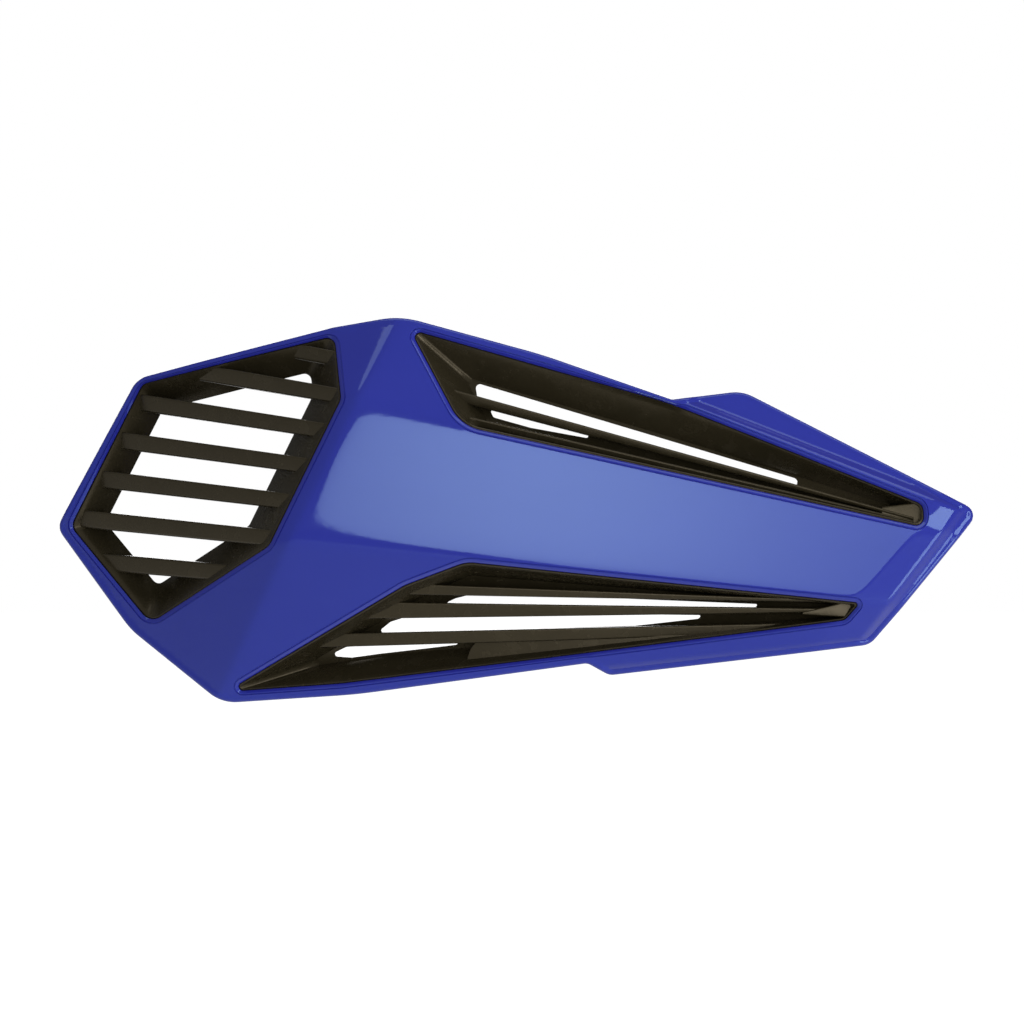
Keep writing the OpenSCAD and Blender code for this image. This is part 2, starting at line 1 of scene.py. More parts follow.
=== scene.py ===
"""Motorcycle hand guard: a glossy folded shell, three louvred inserts, brass inserts and screws.

Lengths are in millimetres in the CAD frame until Solid.mesh() writes a mesh in metres.
The guard faces -Y, its length runs along X and +Z is up, so a point of the front view is (x, z).
"""
import math

import bmesh
import bpy
import numpy as np
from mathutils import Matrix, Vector
from mathutils.geometry import delaunay_2d_cdt


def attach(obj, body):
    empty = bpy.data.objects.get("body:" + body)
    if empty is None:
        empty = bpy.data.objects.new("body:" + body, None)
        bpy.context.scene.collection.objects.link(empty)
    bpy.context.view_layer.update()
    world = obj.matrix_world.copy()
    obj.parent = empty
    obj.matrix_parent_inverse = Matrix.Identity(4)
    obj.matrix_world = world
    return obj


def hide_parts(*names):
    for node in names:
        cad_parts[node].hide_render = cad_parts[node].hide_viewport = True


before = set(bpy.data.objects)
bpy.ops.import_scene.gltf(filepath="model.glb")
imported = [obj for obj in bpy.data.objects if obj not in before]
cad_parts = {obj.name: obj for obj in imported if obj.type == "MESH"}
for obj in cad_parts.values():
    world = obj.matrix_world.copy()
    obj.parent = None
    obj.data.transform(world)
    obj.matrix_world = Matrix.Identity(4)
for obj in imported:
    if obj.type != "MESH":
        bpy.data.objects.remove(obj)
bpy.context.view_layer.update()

# Sizes
LENGTH, HEIGHT = 251.0, 105.0
ORIGIN_U, ORIGIN_V = 0.651, 0.46
WALL, RIM_RADIUS, RIM_DEPTH, PANEL_DEPTH = 2.0, 1.5, 7.0, 14.0
FOLD_SOFTNESS, CROWN_RADIUS = 1.4, 900.0
FLANGE_STEP, FLANGE_RUNS = 2.4, (2.4, 3.6, 3.6)
BEVEL, EDGE_SHOW, EDGE_TUCK, EDGE_STRIP = 1.1, 0.6, 0.4, 0.6
FUNNEL_WALL, FUNNEL_DEPTH, FLOOR = 1.6, 10.0, 1.8
SEAT_DEPTH, SEAT_GAP, LIP_BEAD = 0.6, 0.15, 0.7
SIDE_INSET = 8.0
SIDE_BACK_RADIUS = SIDE_INSET / 4
SIDE_SLATS, SIDE_PITCH, SIDE_SLAT_HEIGHT, SLAT_RECESS, SLAT_BACK = 7, 10.9, 4.7, 0.8, 8.4
# Slopes in degrees of the highest and the lowest slat of the side vent
SIDE_SLOPES = (11.5, 4.2)
# Share of its height by which a slat's lower edge lies behind its upper one
SLAT_LEAN, UPPER_LEAN = 0.25, 0.35
LONG_SLAT, SLAT_TIP, BAR_HEIGHT = 3.8, 1.6, 4.6
BAR_RECESS, BAR_BACK = FUNNEL_DEPTH - BAR_HEIGHT - FLOOR, FUNNEL_DEPTH - 0.1
ARM_SPACING, ARM_BOSS_D, NUT_D, NUT_BORE_D, NUT_LENGTH = 50.0, 14.0, 8.0, 5.0, 9.0
SCREW_D, SCREW_LENGTH, SCREW_HEAD_D, SCREW_HEAD_H = 3.0, 7.0, 5.6, 2.0
BOSS_OFFSET, EAR_REACH, BOSS_D, BOSS_HEIGHT, EAR_THICKNESS = 5.4, 3.0, 6.4, 6.0, 2.0
RIB_THICKNESS, RIB_REACH, SHORT_RIB_REACH, RIB_DROP, WEB_HEIGHT = 1.4, 3.5, 1.6, 2.0, 2.0
RIB_FOOT = WALL / 2
SMALLEST_RADIUS, FILLET = 0.4, 0.25
# Screws and brass inserts stand in holes this much wider and deeper than they are
FIT_ROOM, BORE_ROOM = 0.1, 0.05
# Share of the wall at which a boss or rib starts, so that its root is sunk in the wall
ROOT_SHARE = 0.75
# The wall is at most this much thicker in depth than square to the face
THICKEST_SHARE = 1.35
# Largest angle in degrees that is shaded smooth, and the distance within which points merge
SMOOTH_ANGLE, WELD = 35.0, 0.004
# A triangle lower than this lies along a straight edge, outside the outline
SLIVER = 0.002


def at(u, v):
    """Front-view point from its shares of the length and height."""
    return np.array([(u - ORIGIN_U) * LENGTH, (v - ORIGIN_V) * HEIGHT])


# Outlines as corners: shares of the length and height, and the radius as a share of the height
GUARD = [(-0.005, 0.457, 0.038), (0.079, 0.188, 0.21), (0.183, -0.003, 0.11), (0.33, 0.022, 1.43),
         (0.583, 0.107, 0.029), (0.607, 0.075, 0.038), (0.889, 0.156, 0.048), (1.007, 0.499, 0.029),
         (0.751, 0.813, 0.1), (0.674, 0.79, 0.019), (0.532, 0.908, 1.43), (0.38, 1.008, 0.25),
         (0.306, 0.98, 0.19), (0.086, 0.853, 0.067)]
SIDE_VENT = [(0.011, 0.46, 0.029), (0.102, 0.205, 0.038), (0.239, 0.411, 0.048), (0.317, 0.79, 0.038),
             (0.308, 0.958, 0.024), (0.092, 0.838, 0.029)]
UPPER_VENT = [(0.39, 0.973, 0.014), (0.446, 0.721, 0.11), (0.945, 0.459, 0.022), (0.944, 0.519, 0.026),
              (0.673, 0.779, 1.43)]
UPPER_FLOOR = [(0.45, 0.85, 0.009), (0.485, 0.685, 0.057), (0.938, 0.466, 0.006), (0.937, 0.496, 0.006),
               (0.673, 0.693, 1.43)]
LOWER_VENT = [(0.187, 0.027, 0.011), (0.315, 0.051, 0.57), (0.86, 0.22, 0.029), (0.876, 0.266, 0.008),
              (0.452, 0.371, 0.095), (0.385, 0.31, 0.19)]
LOWER_FLOOR = [(0.27, 0.09, 0.009), (0.37, 0.128, 0.38), (0.852, 0.231, 0.005), (0.858, 0.257, 0.004),
               (0.456, 0.335, 0.076), (0.41, 0.285, 0.14)]
FOLDS = [((0.375, 0.992), (0.179, 0.018), 33.0), ((0.941, 0.468), (0.326, 0.8), 28.0),
         ((0.271, 0.423), (0.872, 0.27), 30.0), ((0.878, 0.296), (0.932, 0.452), 16.0)]
BODY_EDGES = [((0.942, 0.54), (0.674, 0.792)), ((0.876, 0.177), (0.979, 0.504)),
              ((0.597, 0.104), (0.876, 0.177))]
SIDE_SCREWS = [(3, 0.5), (2, 0.55), (1, 0.72), (1, 0.16)]
UPPER_SCREWS = [(0, 0.8), (1, 0.3), (1, 0.79)]
LOWER_SCREWS = [(4, 0.85), (3, 0.53), (3, 0.18)]
UPPER_SLOTS = [
    [(0.461, 0.835), (0.811, 0.584), (0.808, 0.561), (0.464, 0.79)],
    [(0.477, 0.766), (0.51, 0.753), (0.584, 0.699), (0.583, 0.69), (0.521, 0.717), (0.481, 0.744)]]
LOWER_SLOTS = [
    [(0.431, 0.265), (0.44, 0.275), (0.453, 0.283), (0.516, 0.282), (0.624, 0.275), (0.767, 0.261),
     (0.765, 0.253), (0.431, 0.256)],
    [(0.358, 0.192), (0.369, 0.213), (0.386, 0.226), (0.407, 0.23), (0.624, 0.234), (0.706, 0.232),
     (0.704, 0.223), (0.635, 0.204), (0.462, 0.191), (0.36, 0.184)],
    [(0.307, 0.131), (0.32, 0.146), (0.353, 0.153), (0.443, 0.16), (0.441, 0.153), (0.407, 0.143),
     (0.358, 0.129), (0.326, 0.118), (0.308, 0.121)]]
UPPER_BARS = [((0.42, 0.813), (0.934, 0.481), LONG_SLAT * 0.8, SLAT_TIP * 0.6),
              ((0.44, 0.742), (0.934, 0.472), LONG_SLAT * 0.6, SLAT_TIP * 0.6)]
LOWER_BARS = [((0.37, 0.301), (0.858, 0.269), LONG_SLAT * 0.82, SLAT_TIP * 0.4),
              ((0.33, 0.244), (0.858, 0.246), LONG_SLAT * 1.25, SLAT_TIP * 0.6),
              ((0.27, 0.162), (0.8, 0.199), LONG_SLAT, SLAT_TIP * 1.8)]


# Plane geometry
def unit(v):
    """Vectors scaled to length one."""
    return v / np.linalg.norm(v, axis=-1, keepdims=True)


def right_of(d):
    """Directions turned a quarter to the right, which is outwards on an anticlockwise outline."""
    return np.stack([d[..., 1], -d[..., 0]], -1)


class Outline:
    """Closed anticlockwise outline of rounded corners, which can be drawn at any offset.

    Every offset has the same number of points in the same order, so two loops can be joined.
    """

    def __init__(self, corners, spacing=1.0, like=None):
        self.places = np.array([at(u, v) for u, v, r in corners]) if corners else None
        self.radii = HEIGHT * np.array([r for u, v, r in corners]) if corners else None
        self.spacing, self.like, self.share = spacing, like, None

    @classmethod
    def from_places(cls, places, radii, like):
        """The same outline with other corner places and radii."""
        made = cls(None, like.spacing, like)
        made.places, made.radii = places, np.broadcast_to(radii, len(places)).astype(float)
        return made

    def moved(self, outset):
        """Corner places moved outwards by a distance, their radii, turns and directions."""
        along = unit(np.roll(self.places, -1, 0) - self.places)
        before = np.roll(along, 1, 0)
        out_a, out_b = right_of(before), right_of(along)
        turn = np.arctan2(before[:, 0] * along[:, 1] - before[:, 1] * along[:, 0], (before * along).sum(1))
        side = np.where(turn < 0, -1.0, 1.0)
        places = self.places + outset * (out_a + out_b) / (1 + (out_a * out_b).sum(1))[:, None]
        radii = self.radii if outset == 0 else np.maximum(self.radii + side * outset, SMALLEST_RADIUS)
        return places, radii, turn, side, before, out_a

    def steps(self):
        """How many steps each corner's arc and each edge takes."""
        if self.like is not None:
            return self.like.steps()
        places, radii, turn, _, _, _ = self.moved(0)
        arcs = np.maximum(6, np.ceil(np.abs(turn) * radii / self.spacing)).astype(int)
        edges = np.maximum(1, np.ceil(np.linalg.norm(np.roll(places, -1, 0) - places, axis=1) / self.spacing))
        return arcs, edges.astype(int)

    def loop(self, outset=0.0):
        """Points of the outline at an offset: an arc at each corner, then even steps to the next."""
        places, radii, turn, side, before, out_a = self.moved(outset)
        to_centre = before * np.abs(np.tan(turn / 2))[:, None] + side[:, None] * out_a
        centres = places - radii[:, None] * to_centre
        start = np.arctan2(out_a[:, 1], out_a[:, 0])
        arcs, edges = self.steps()
        parts, ends = [], []
        for i, n in enumerate(arcs):
            a = start[i] + turn[i] * np.arange(n + 1) / n
            parts.append(centres[i] + side[i] * radii[i] * np.stack([np.cos(a), np.sin(a)], -1))
        for i, m in enumerate(edges):
            t = (np.arange(1, m) / m)[:, None]
            ends.append(parts[i][-1] + (parts[(i + 1) % len(parts)][0] - parts[i][-1]) * t)
        made = np.concatenate([q for pair in zip(parts, ends) for q in pair])
        if self.share is None or outset == 0:
            return made
        plain = self.loop(0)
        return plain + (made - plain) * self.share[:, None]

    def make_room(self, others, room):
        """Where another outline runs closer than the room that two edges take, offsets shrink with
        the distance to it, so that the edges still fit between the two."""
        plain = self.loop(0)
        far = np.min([np.linalg.norm(plain[:, None] - o.loop(0)[None], axis=-1).min(1) for o in others], 0)
        return np.clip((far - 0.1) / room, 0.2, 1)

    def beside(self, edge, share, outset):
        """Point beside an edge, at a share of its length and a distance outside it."""
        a, b = self.places[edge], self.places[(edge + 1) % len(self.places)]
        return a + (b - a) * share + outset * right_of(unit(b - a))


def smooth_step(t):
    """Zero below 0, one above 1, and 3t^2 - 2t^3 between."""
    t = np.clip(t, 0, 1)
    return t * t * (3 - 2 * t)


def beyond(p, a, b):
    """Distance of front-view points to the right of the walk from a to b."""
    a, b = at(*a), at(*b)
    return (p - a) @ right_of(unit(b - a))


def past_body(p):
    """Place of front-view points on the flange's step: 0 at the body's edge, 1 where it ends."""
    return np.max([beyond(p, a, b) / run for (a, b), run in zip(BODY_EDGES, FLANGE_RUNS)], 0)


def face(p):
    """Depth of the front: a wide crown, plus for each fold tan(slope) * (s + sqrt(s^2 + soft^2)) / 2
    of the distance s behind its line, plus the smooth step of the flange."""
    y = (p * p).sum(-1) / (2 * CROWN_RADIUS) - PANEL_DEPTH
    for a, b, slope in FOLDS:
        s = beyond(p, a, b)
        y = y + math.tan(math.radians(slope)) * (s + np.sqrt(s * s + FOLD_SOFTNESS ** 2)) / 2
    return y + FLANGE_STEP * smooth_step(past_body(p))


def inner_face(p):
    """Depth of the wall's inner skin: the wall's thickness is measured square to the face, and the
    wall is thinner on the steep flank of the flange's step."""
    h = 0.2
    gx = (face(p + [h, 0]) - face(p - [h, 0])) / (2 * h)
    gz = (face(p + [0, h]) - face(p - [0, h])) / (2 * h)
    return face(p) + WALL * np.minimum(np.sqrt(1 + gx * gx + gz * gz), THICKEST_SHARE)


def lift(p, y):
    """Front-view points given a depth, as points in space."""
    return np.stack([p[:, 0], np.broadcast_to(y, len(p)), p[:, 1]], -1)


def inside(p, loop):
    """Which front-view points a closed loop holds, by the crossing rule."""
    x0, z0 = loop.T
    x1, z1 = np.roll(loop, -1, 0).T
    held = np.zeros(len(p), bool)
    for part in np.array_split(np.arange(len(p)), max(1, len(p) // 4000)):
        x, z = p[part, 0][:, None], p[part, 1][:, None]
        spans = (z0 > z) != (z1 > z)
        with np.errstate(divide="ignore", invalid="ignore"):
            left = x < x0 + (z - z0) * (x1 - x0) / (z1 - z0)
        held[part] = (spans & left).sum(1) % 2 == 1
    return held


def near(p, others, distance):
    """Which points lie closer than a distance to any of the others."""
    hit = np.zeros(len(p), bool)
    for part in np.array_split(np.arange(len(p)), max(1, len(p) // 2000)):
        d = p[part][:, None, :] - others[None]
        hit[part] = ((d * d).sum(-1) < distance * distance).any(1)
    return hit


def hexagonal(low, high, step):
    """Points of a triangular lattice over a box."""
    rows = np.arange(low[1], high[1], step * math.sqrt(0.75))
    cols = np.arange(low[0], high[0], step)
    x, z = np.meshgrid(cols, rows)
    x = x + (np.arange(len(rows)) % 2 * step / 2)[:, None]
    return np.stack([x.ravel(), z.ravel()], -1)


def region(outer, holes=(), step=1.2, fine=None, fine_step=0.6):
    """Triangles over an outline with holes: lattice points between the loops, joined by a
    constrained Delaunay triangulation. Where fine(p) holds, the lattice is closer."""
    loops = [outer, *holes]
    low, high = outer.min(0) - step, outer.max(0) + step
    lattice = hexagonal(low, high, step)
    if fine is not None:
        close = hexagonal(low, high, fine_step)
        lattice = np.concatenate([lattice[~fine(lattice)], close[fine(close)]])
    keep = inside(lattice, outer)
    for hole in holes:
        keep &= ~inside(lattice, hole)
    lattice = lattice[keep]
    lattice = lattice[~near(lattice, np.concatenate(loops), 0.45 * step)]
    points, edges, start = [], [], 0
    for loop in loops:
        n = len(loop)
        i = np.arange(n)
        edges += np.stack([start + i, start + (i + 1) % n], -1).tolist()
        points.append(loop)
        start += n
    points = np.concatenate([*points, lattice])
    made = delaunay_2d_cdt([Vector(q) for q in points.tolist()], edges, [], 0, 1e-5, False)
    verts = np.array([q[:] for q in made[0]])
    tris = np.array(made[2])
    middle = verts[tris].mean(1)
    sides = verts[tris] - verts[np.roll(tris, 1, 1)]
    twice_area = np.abs(sides[:, 0, 0] * sides[:, 1, 1] - sides[:, 0, 1] * sides[:, 1, 0])
    keep = inside(middle, outer) & (twice_area > SLIVER * np.linalg.norm(sides, axis=-1).max(1))
    for hole in holes:
        keep &= ~inside(middle, hole)
    return verts, tris[keep]


# Meshes
class Solid:
    """Gathers surfaces and writes them as one mesh, with shared edges merged."""

    def __init__(self):
        self.verts, self.faces, self.count = [], [], 0

    def add(self, verts, faces):
        """Adds vertices and the faces on them."""
        self.verts.append(np.asarray(verts, float))
        self.faces += (np.asarray(faces) + self.count).tolist()
        self.count += len(verts)

    def skin(self, made, depth):
        """Adds a triangulated region, lifted to a depth that is a function of the place."""
        verts, tris = made
        self.add(lift(verts, depth(verts)), tris)

    def loft(self, loops):
        """Adds the surface through loops of equally many points, each joined to the next."""
        n = len(loops[0])
        i = np.arange(n)
        k = (i + 1) % n
        quads = [np.stack([j * n + i, j * n + k, (j + 1) * n + k, (j + 1) * n + i], -1)
                 for j in range(len(loops) - 1)]
        self.add(np.concatenate(loops), np.concatenate(quads))

    def cap(self, loop):
        """Closes a flat loop with a fan about its middle."""
        n = len(loop)
        i = np.arange(n)
        self.add(np.concatenate([loop, loop.mean(0, keepdims=True)]),
                 np.stack([i, (i + 1) % n, np.full(n, n)], -1))

    def hull(self, points):
        """Adds the convex hull of points."""
        bm = bmesh.new()
        for q in np.asarray(points).tolist():
            bm.verts.new(q)
        made = bmesh.ops.convex_hull(bm, input=bm.verts)
        bmesh.ops.delete(bm, geom=list({*made["geom_interior"], *made["geom_unused"]}), context="VERTS")
        bm.verts.index_update()
        verts = np.array([v.co[:] for v in bm.verts])
        for f in bm.faces:
            self.faces.append([v.index + self.count for v in f.verts])
        self.verts.append(verts)
        self.count += len(verts)
        bm.free()

    def mesh(self, name):
        """The gathered surfaces as a mesh in metres: merged, facing outwards and shaded smooth."""
        mesh = bpy.data.meshes.new(name)
        mesh.from_pydata((np.concatenate(self.verts) * 0.001).tolist(), [], self.faces)
        bm = bmesh.new()
        bm.from_mesh(mesh)
        bmesh.ops.remove_doubles(bm, verts=bm.verts, dist=WELD * 0.001)
        bmesh.ops.dissolve_degenerate(bm, edges=bm.edges, dist=1e-6)
        bmesh.ops.recalc_face_normals(bm, faces=bm.faces)
        bm.to_mesh(mesh)
        bm.free()
        mesh.shade_smooth()
        mesh.set_sharp_from_angle(angle=math.radians(SMOOTH_ANGLE))
        return mesh


def to_object(name, mesh, material):
    """A mesh as an object of the scene."""
    made = bpy.data.objects.new(name, mesh)
    bpy.context.scene.collection.objects.link(made)
    mesh.materials.clear()
    mesh.materials.append(material)
    return made


def combined(name, mesh, other, operation):
    """The difference or intersection of two closed meshes."""
    a, b = bpy.data.objects.new(name, mesh), bpy.data.objects.new(name + "_tool", other)
    for o in (a, b):
        bpy.context.scene.collection.objects.link(o)
    cut = a.modifiers.new("cut", "BOOLEAN")
    cut.object, cut.operation, cut.solver = b, operation, "MANIFOLD"
    made = bpy.data.meshes.new_from_object(a.evaluated_get(bpy.context.evaluated_depsgraph_get()))
    for o in (a, b):
        bpy.data.objects.remove(o)
    made.name = name
    return made


def joined(name, meshes):
    """Several meshes as one."""
    bm = bmesh.new()
    for mesh in meshes:
        bm.from_mesh(mesh)
    made = bpy.data.meshes.new(name)
    bm.to_mesh(made)
    bm.free()
    made.shade_smooth()
    made.set_sharp_from_angle(angle=math.radians(SMOOTH_ANGLE))
    return made


# Shaders
def add_node(tree, kind, sockets, **settings):
    """Adds a node to a tree: its settings first, then the values or links of its sockets."""
    made = tree.nodes.new(kind)
    for key, value in settings.items():
        setattr(made, key, value)
    for key, value in sockets.items():
        if isinstance(value, bpy.types.NodeSocket):
            tree.links.new(value, made.inputs[key])
        else:
            made.inputs[key].default_value = value
    return made.outputs


class Value:
    """A shader socket that can be added and multiplied as numbers can."""

    def __init__(self, finish, socket):
        self.finish, self.socket = finish, socket

    def _math(self, operation, first, second):
        return self.finish.node("ShaderNodeMath", {0: first, 1: second}, operation=operation)["Value"]

    def __add__(self, other):
        return self._math("ADD", self, other)

    def __mul__(self, other):
        return self._math("MULTIPLY", self, other)

    __radd__ = __add__


class Finish:
    """A material and the nodes in it."""

    def __init__(self, name):
        self.material = bpy.data.materials.new(name)
        self.material.use_nodes = True
        self.tree = self.material.node_tree
        self.tree.nodes.clear()
        self.coords = self.node("ShaderNodeTexCoord")["Object"]

    def node(self, kind, sockets=None, **settings):
        """Adds a node to the material. Its outputs come back by name."""
        plain = {key: value.socket if isinstance(value, Value) else value
                 for key, value in (sockets or {}).items()}
        outputs = add_node(self.tree, kind, plain, **settings)
        return {o.name: Value(self, o) for o in reversed(outputs) if o.enabled}

    def noise(self, scale, detail=2.0, stretch=(1, 1, 1)):
        """Noise between 0 and 1, with features of about 1/scale metres, stretched along the axes."""
        where = self.node("ShaderNodeMapping", {"Vector": self.coords, "Scale": stretch})["Vector"]
        return self.node("ShaderNodeTexNoise", {"Vector": where, "Scale": scale, "Detail": detail})

    def ramp(self, value, low, high):
        """A value rescaled so that low gives 0 and high gives 1, and held between them."""
        limits = {"Value": value, "From Min": low, "From Max": high}
        return self.node("ShaderNodeMapRange", limits)["Result"]

    def mix(self, share, a, b):
        """Colour between a and b."""
        return self.node("ShaderNodeMix", {"Factor": share, 6: a, 7: b}, data_type="RGBA")["Result"]

    def bump(self, height, distance, strength):
        """Normal bent by a height, where the distance is how many metres a height of 1 stands for."""
        sockets = {"Height": height, "Distance": distance, "Strength": strength}
        return self.node("ShaderNodeBump", sockets)["Normal"]

    def shade(self, **sockets):
        """Ends the tree in the main shader, whose plain values go on its own sockets."""
        named = {key.replace("_", " "): value for key, value in sockets.items()}
        shader = self.node("ShaderNodeBsdfPrincipled", named)["BSDF"]
        self.node("ShaderNodeOutputMaterial", {"Surface": shader})
        return self.material


def shell_finish():
    """Glossy blue plastic: faint flow marks, mould texture and hairline scratches."""
    f = Finish("gloss_blue_plastic")
    flow = f.noise(14, 3, (1, 1, 2.5))["Fac"]
    cloud = f.noise(70, 4)["Fac"]
    scratch_a = f.noise(60, 6, (1, 1, 22))["Fac"]
    scratch_b = f.noise(60, 6, (17, 9, 1))["Fac"]
    scratches = f.ramp(scratch_a, 0.66, 0.7) + f.ramp(scratch_b, 0.67, 0.71)
    colour = f.mix(f.ramp(flow, 0.3, 0.7), (0.017, 0.021, 0.258, 1), (0.02, 0.025, 0.276, 1))
    rough = 0.05 + f.ramp(cloud, 0.3, 0.8) * 0.025 + scratches * 0.05
    peel = f.noise(520, 2)["Fac"]
    normal = f.bump(peel + scratches * -0.15, 0.000012, 0.6)
    return f.shade(Base_Color=colour, Roughness=rough, Normal=normal, IOR=1.5,
                   Specular_Tint=(0.5, 0.74, 1.0, 1))


def insert_finish():
    """Satin near-black plastic with a warm tone and a fine moulded grain."""
    f = Finish("satin_black_plastic")
    cloud = f.noise(45, 3)["Fac"]
    dust = f.ramp(f.noise(260, 5)["Fac"], 0.5, 0.8)
    colour = f.mix(f.ramp(cloud, 0.3, 0.7), (0.015, 0.0124, 0.0065, 1), (0.0195, 0.016, 0.0086, 1))
    colour = f.mix(dust * 0.2, colour, (0.04, 0.034, 0.022, 1))
    rough = 0.22 + f.ramp(cloud, 0.2, 0.8) * 0.06 + dust * 0.08
    cells = f.node("ShaderNodeTexVoronoi", {"Vector": f.coords, "Scale": 1900.0}, feature="SMOOTH_F1")
    normal = f.bump(cells["Distance"], 0.00003, 0.35)
    return f.shade(Base_Color=colour, Roughness=rough, Normal=normal, IOR=1.5,
                   Specular_IOR_Level=0.36, Specular_Tint=(1.0, 0.85, 0.6, 1))


def metal_finish(name, dark, light, rough):
    """Turned metal: fine marks round the axis and a slightly uneven tone."""
    f = Finish(name)
    tone = f.noise(900, 4)["Fac"]
    marks = f.noise(400, 2, (1, 14, 1))["Fac"]
    colour = f.mix(f.ramp(tone, 0.3, 0.7), dark, light)
    return f.shade(Base_Color=colour, Metallic=1.0, Roughness=rough + f.ramp(marks, 0.3, 0.7) * 0.12,
                   Normal=f.bump(marks, 0.00002, 0.4))


blue = shell_finish()
black = insert_finish()
brass = metal_finish("turned_brass", (0.62, 0.42, 0.16, 1), (0.74, 0.54, 0.24, 1), 0.26)
zinc = metal_finish("zinc_plate", (0.5, 0.5, 0.48, 1), (0.64, 0.64, 0.62, 1), 0.28)


# Outlines of the shell and its vents
guard = Outline(GUARD, 1.0)
side_vent, upper_vent, lower_vent = [Outline(c, 0.9) for c in (SIDE_VENT, UPPER_VENT, LOWER_VENT)]
side_back = Outline.from_places(side_vent.moved(-SIDE_INSET)[0], SIDE_BACK_RADIUS, side_vent)
upper_back = Outline(UPPER_FLOOR, like=upper_vent)
lower_back = Outline(LOWER_FLOOR, like=lower_vent)
vents = [side_vent, upper_vent, lower_vent]
EDGE_ROOM = RIM_RADIUS + BEVEL + EDGE_STRIP
guard_share = guard.make_room(vents, EDGE_ROOM)
for vent in vents:
    vent.share = vent.make_room([guard], EDGE_ROOM)
guard.share = guard_share


def boss_top(p):
    """Depth of the seat on a screw boss."""
    return float(inner_face(p[None])[0]) + BOSS_HEIGHT


def ring(p, radius, n=48):
    """Circle of front-view points."""
    a = np.arange(n) * 2 * np.pi / n
    return p + radius * np.stack([np.cos(a), np.sin(a)], -1)


# The shell
def rim_loops():
    """The rounded edge and the rim: a quarter circle out and back from the face, the rim wall,
    its rounded back edge, and the inside up to the wall with a small fillet."""
    flat = guard.loop(-RIM_RADIUS)
    y = face(flat)
    loops = [lift(flat, y)]
    for a in np.radians([75, 60, 45, 30, 15, 0]):
        out, depth = -RIM_RADIUS * (1 - math.cos(a)), RIM_RADIUS * (1 - math.sin(a))
        loops.append(lift(guard.loop(out), y + depth))
    back = RIM_DEPTH
    for out, depth in [(0, back - 2.5), (0, back - 0.5), (-0.15, back - 0.15), (-0.5, back),
                       (-WALL + 0.5, back), (-WALL + 0.15, back - 0.15), (-WALL, back - 0.5)]:
        loops.append(lift(guard.loop(out), y + depth))
    root = guard.loop(-WALL)
    loops.append(lift(root, np.minimum(inner_face(root) + FILLET, y + back - 0.6)))
    edge = guard.loop(-WALL - FILLET)
    loops.append(lift(edge, inner_face(edge)))
    return loops


def vent_loops(vent):
    """The edge of a vent: a fine groove in the face, the bevel inside it, and the seat."""
    loops = []
    groove = [(BEVEL + EDGE_STRIP, 0), (BEVEL + 0.42, 0), (BEVEL + 0.25, 0), (BEVEL + 0.14, 0.36),
              (BEVEL + 0.02, 0.38), (BEVEL - 0.08, 0.18), (BEVEL - 0.3, 0.24)]
    bevel = [(0.1, BEVEL - 0.05), (0.02, BEVEL + 0.06), (0, BEVEL + 0.2)]
    for out, depth in groove + bevel:
        loop = vent.loop(out)
        loops.append(lift(loop, face(loop) + depth))
    for out, depth in [(0, -SEAT_DEPTH), (EDGE_TUCK + SEAT_GAP, -SEAT_DEPTH), (EDGE_TUCK + SEAT_GAP, 0)]:
        loop = vent.loop(out)
        loops.append(lift(loop, inner_face(loop) + depth))
    return loops


def near_steps(p):
    """Places where the flange steps back from the body, or where the face folds."""
    step_margin, fold_margin = 0.8, 3
    s = past_body(p)
    folds = np.min([np.abs(beyond(p, a, b)) for a, b, _ in FOLDS], 0)
    return (s > -step_margin) & (s < 1 + step_margin) | (folds < fold_margin)


shell = Solid()
front_edge = guard.loop(-RIM_RADIUS)
front = region(front_edge, [v.loop(BEVEL + EDGE_STRIP) for v in vents], 1.15, near_steps, 0.55)
shell.skin(front, face)
back_edge = guard.loop(-WALL - FILLET)
back = region(back_edge, [v.loop(EDGE_TUCK + SEAT_GAP) for v in vents], 1.5, near_steps, 0.75)
shell.skin(back, inner_face)
shell.loft(rim_loops())
for vent in vents:
    shell.loft(vent_loops(vent))


def boss(solid, p, diameter, top, bore, bore_depth):
    """Hollow post on the wall: fillet at its root, rounded rim and a blind bore."""
    r = diameter / 2
    root = ring(p, r)
    sunk = face(root) + WALL * ROOT_SHARE
    wall_y = inner_face(ring(p, r + 0.6))
    loops = [lift(ring(p, r + 0.6), wall_y - 0.3), lift(ring(p, r + 0.6), wall_y),
             lift(ring(p, r + 0.18), inner_face(ring(p, r + 0.18)) + 0.2), lift(root, inner_face(root) + 0.7),
             lift(root, top - 0.3), lift(ring(p, r - 0.08), top - 0.08), lift(ring(p, r - 0.3), top),
             lift(ring(p, bore / 2 + 0.25), top), lift(ring(p, bore / 2), top - 0.25),
             lift(ring(p, bore / 2), top - bore_depth)]
    solid.loft(loops)
    solid.cap(loops[-1])
    solid.loft([lift(root, sunk), loops[0]])
    solid.cap(lift(root, sunk))


